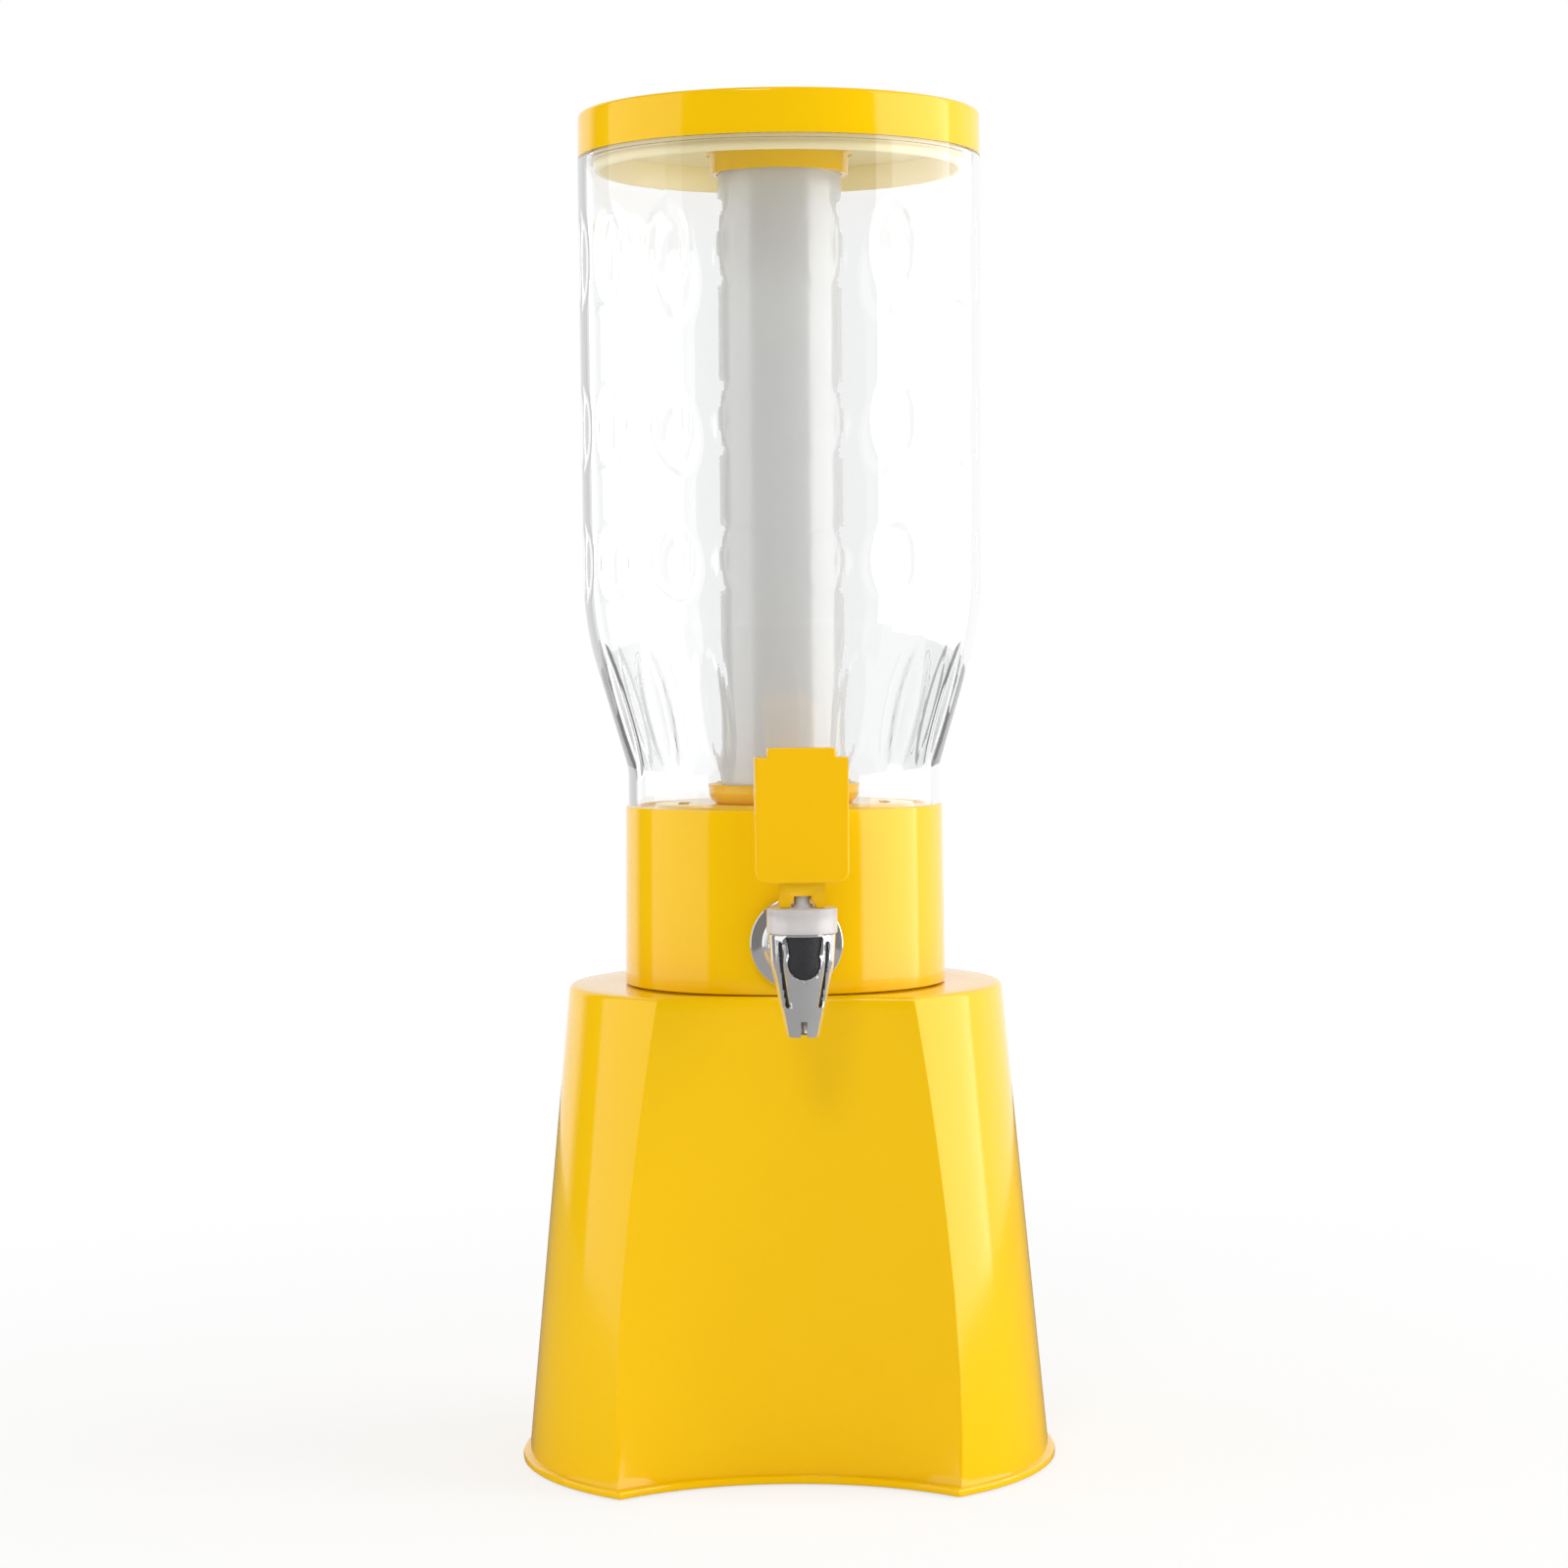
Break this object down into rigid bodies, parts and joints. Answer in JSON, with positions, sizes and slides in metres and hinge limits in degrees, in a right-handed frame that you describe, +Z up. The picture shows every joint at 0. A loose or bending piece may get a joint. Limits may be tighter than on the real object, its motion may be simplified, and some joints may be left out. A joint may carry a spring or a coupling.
{
  "type": "beer tower dispenser",
  "caption": "Free-standing drinks tower: clear dimpled tank with a lift-off lid and hanging ice tube, on a tapered base, emptied through a lever tap.",
  "frame": {"origin": "on the tower's axis at the table", "axes": "+Z up, -Y towards the front, where the tap is"},
  "size_m": [0.19, 0.1927, 0.4778],
  "materials": {
    "yellow_shell": "gloss",
    "yellow_inner": "gloss",
    "yellow_handle": "gloss",
    "clear_tank": "clear gloss",
    "clear_bonnet": "clear gloss",
    "frosted_tube": "frosted satin",
    "chrome_tap": "bright chrome plate",
    "dark_insert": "fine textured",
    "steel_valve": "bright",
    "white_silicone": "satin translucent",
    "grey_silicone": "satin",
    "nut_plastic": "satin",
    "foot_rubber": "matte"
  },
  "bodies": {
    "base": {"base_shell": "yellow_shell", "foot_pads": "foot_rubber"},
    "vessel": {"collar_cup": "yellow_shell", "tube_seat": "yellow_inner", "tank": "clear_tank", "tank_gasket": "white_silicone", "tap_saddle": "grey_silicone", "tap_flange": "chrome_tap", "tap_washer": "grey_silicone", "lock_nut": "nut_plastic", "tap_body": "chrome_tap", "nozzle_insert": "dark_insert", "bonnet": "clear_bonnet", "valve_diaphragm": "grey_silicone", "valve_spring": "steel_valve"},
    "lid": {"lid_cover": "yellow_shell", "lid_plug": "yellow_inner", "lid_seal": "white_silicone", "tube_holder": "yellow_inner", "tube_seal": "white_silicone"},
    "tube": {"ice_tube": "frosted_tube"},
    "valve": {"valve_stem": "steel_valve", "handle_pin": "steel_valve"},
    "handle": {"tap_handle": "yellow_handle"}
  },
  "joints": [
    {"name": "vessel_turn", "type": "hinge", "parent": "base", "child": "vessel", "pos_m": [0, 0, 0.15], "axis": [0, 0, 1], "range_deg": [-30, 0]},
    {"name": "lid_lift", "type": "slide", "parent": "vessel", "child": "lid", "axis": [0, 0, 1], "range_m": [0, 0.25]},
    {"name": "tube_turn", "type": "hinge", "parent": "lid", "child": "tube", "pos_m": [0, 0, 0.46], "axis": [0, 0, 1], "range_deg": [0, 35]},
    {"name": "valve_lift", "type": "slide", "parent": "vessel", "child": "valve", "axis": [0, 0, 1], "range_m": [0, 0.00183], "deforming": ["valve_diaphragm", "valve_spring"]},
    {"name": "handle_tilt", "type": "hinge", "parent": "valve", "child": "handle", "pos_m": [0.0057, -0.08581, 0.2073], "axis": [0.9978, 0.0663, 0], "range_deg": [0, 25], "stiffness_Nm_per_rad": 0.033, "springref_deg": -57.3}
  ],
  "couplings": [
    {"joint": "handle_tilt", "follows": "valve_lift", "rad_per_m": 238.09}
  ]
}
